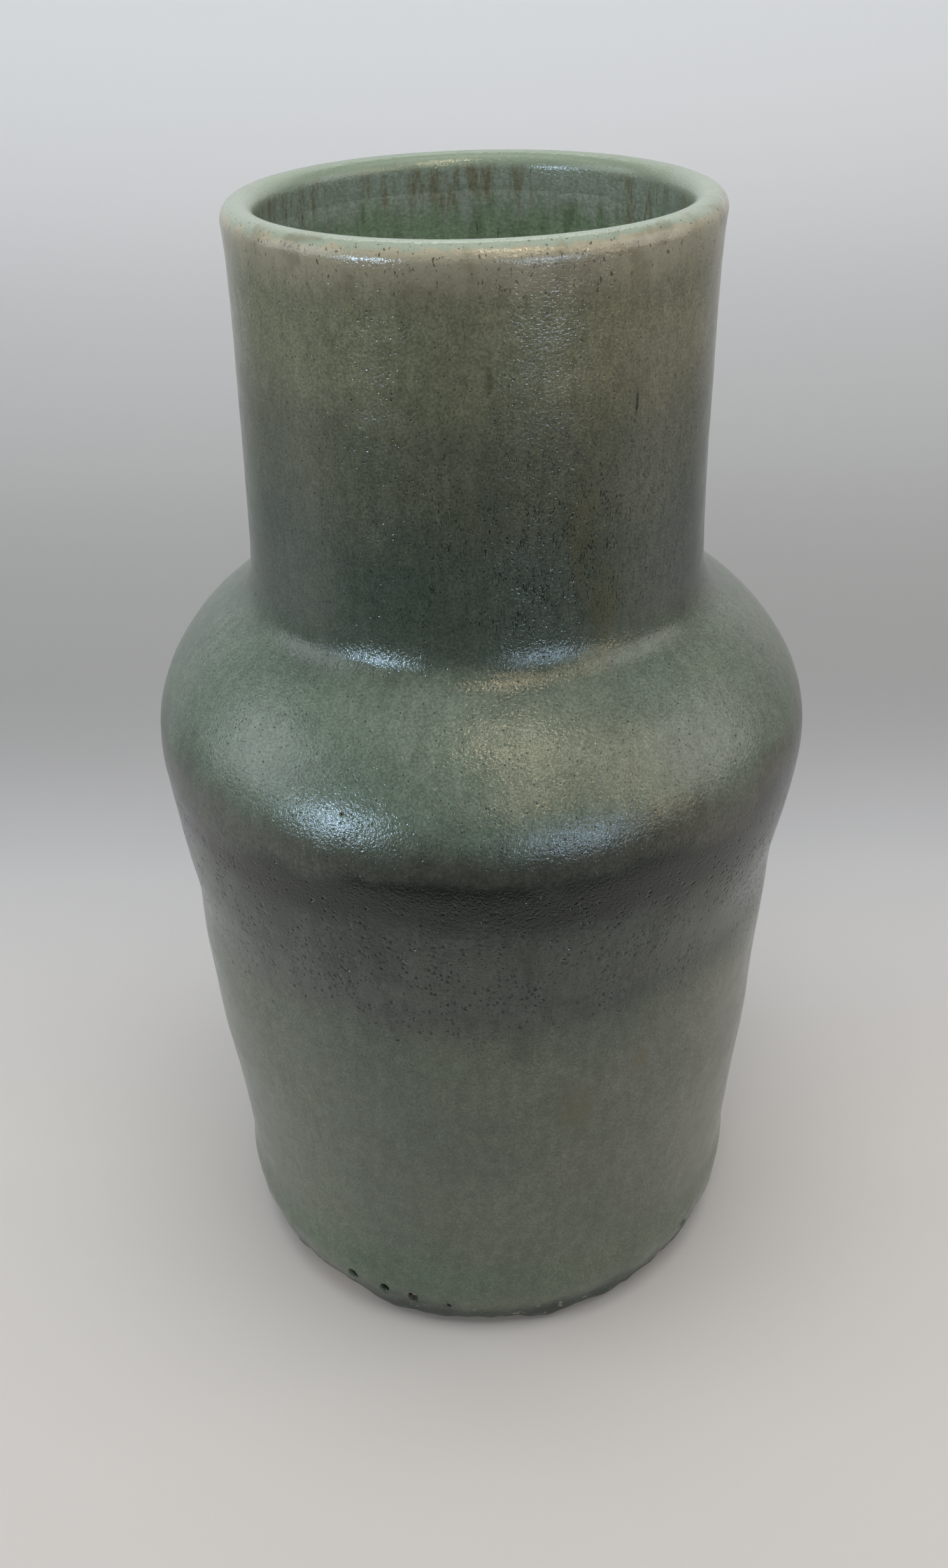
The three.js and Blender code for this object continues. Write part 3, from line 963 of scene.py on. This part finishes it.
def make_paper():
    """Matt paper, with painted shade along the sweep."""
    material, t, shader = new_material("studio_paper")
    parts = t.add("ShaderNodeSeparateXYZ", {0: t.add("ShaderNodeTexCoord").outputs["Object"]}).outputs
    along = t.math("ADD", parts["Y"], t.times(parts["Z"], PAPER_RISE))
    t.feed(shader.inputs["Base Color"], t.ramp(along, PAPER_PAINTED_SHADE, "CARDINAL"))
    shader.inputs["Roughness"].default_value = 0.75
    return material


# Colours of the light from the windows and from the ceiling panels
WINDOW_BLUE = (0.56, 0.76, 1.0)
CEILING_WARM = (1.0, 0.80, 0.52)

# Ceiling panels: (azimuth, elevation) from the vase, (width, height), power
CEILING_PANELS = [
    ((-73, 60), (0.20, 0.06), 1.5), ((-58, 47), (0.11, 0.09), 0.85), ((-73, 31), (0.11, 0.06), 0.85),
    ((-37, 25), (0.08, 0.06), 0.8), ((-31, 5), (0.13, 0.05), 0.6), ((-26, 42), (0.07, 0.07), 0.4)]

# Middle of the vase, which most lamps face, and the part of the back wall that is lit on its own
VASE_MIDDLE = (0, 0, 0.11)
BACK_WALL = (0, 0.44, 0.56)


def add_light(name, toward, distance, size, power, colour, aim=VASE_MIDDLE):
    """An area light seen from aim at azimuth and elevation toward, in degrees, and facing aim."""
    azimuth, elevation = (math.radians(a) for a in toward)
    direction = Vector((math.cos(azimuth) * math.cos(elevation), math.sin(azimuth) * math.cos(elevation),
                        math.sin(elevation)))
    light = bpy.data.lights.new(name, "AREA")
    light.shape = "RECTANGLE"
    light.size, light.size_y = size
    light.energy = power
    light.color = colour
    lamp = bpy.data.objects.new(name, light)
    place = Matrix.Translation(Vector(aim) + direction * distance)
    lamp.matrix_world = place @ direction.to_track_quat("Z", "Y").to_matrix().to_4x4()
    bpy.context.scene.collection.objects.link(lamp)
    return lamp


def make_lights():
    """Soft overhead and side lights, and windows and ceiling panels that only show as reflections."""
    overhead = add_light("overhead", (-90, 82), 0.8, (0.7, 0.6), 5.8, (1.0, 0.99, 0.97))
    add_light("side_left", (186, 22), 0.75, (0.5, 0.5), 1.7, (0.90, 0.96, 1.0))
    add_light("side_right", (-6, 22), 0.75, (0.5, 0.5), 1.4, (1.0, 0.98, 0.95))
    add_light("wall_wash", (-90, 12), 0.42, (1.2, 0.3), 2.2, (0.98, 1.0, 0.99), aim=BACK_WALL)
    front_fill = add_light("front_fill", (-95, 30), 1.0, (0.5, 0.4), 2.6, (0.90, 0.95, 1.0))
    for lamp in (overhead, front_fill):
        lamp.visible_glossy = False
    reflections = [
        add_light("window_left", (-137, 8), 1.1, (0.32, 0.15), 5.5, WINDOW_BLUE),
        add_light("window_right", (-60, 1), 1.1, (0.56, 0.05), 3.0, WINDOW_BLUE),
        add_light("roof_light", (90, 52), 1.0, (0.6, 0.12), 1.6, (0.92, 0.97, 1.0))]
    for number, (toward, size, power) in enumerate(CEILING_PANELS):
        reflections.append(add_light(f"ceiling_panel_{number}", toward, 1.0, size, power, CEILING_WARM))
    for lamp in reflections:
        lamp.visible_diffuse = False


def make_room():
    """A dim, cool grey room round the stage."""
    world = bpy.data.worlds.new("room")
    world.use_nodes = True
    background = world.node_tree.nodes["Background"]
    background.inputs["Color"].default_value = (0.80, 0.84, 0.90, 1)
    background.inputs["Strength"].default_value = 0.09
    bpy.context.scene.world = world
    bpy.context.scene.view_settings.view_transform = "Standard"


def main():
    """The stage, then the three pieces that replace parts of the frame, then the parts that stay."""
    make_camera()
    make_backdrop()
    make_lights()
    make_room()
    groups = {"runs": make_run_coordinates(), "flecks": make_flecks(), "pinholes": make_pinholes(),
              "spot": make_spot(), "grain": make_surface_grain()}
    outside_material = make_outside_glaze(groups)
    inside_material = make_inside_glaze(groups)
    clay_material = make_bare_clay(groups)
    tree = unevenness_tree()
    for make, material, node, slot in (
            (outside_glaze, outside_material, "outer_glaze", "celadon_outside"),
            (lining, inside_material, "liner_glaze", "celadon_inside"),
            (foot_clay, clay_material, "base_slab", "bare_stoneware")):
        piece = make(tree, material)
        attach(piece, "root")
        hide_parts(node)
    for name in ("body_wall", "shoulder", "neck"):
        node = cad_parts[name]
        node.data.materials.clear()
        node.data.materials.append(clay_material)


main()
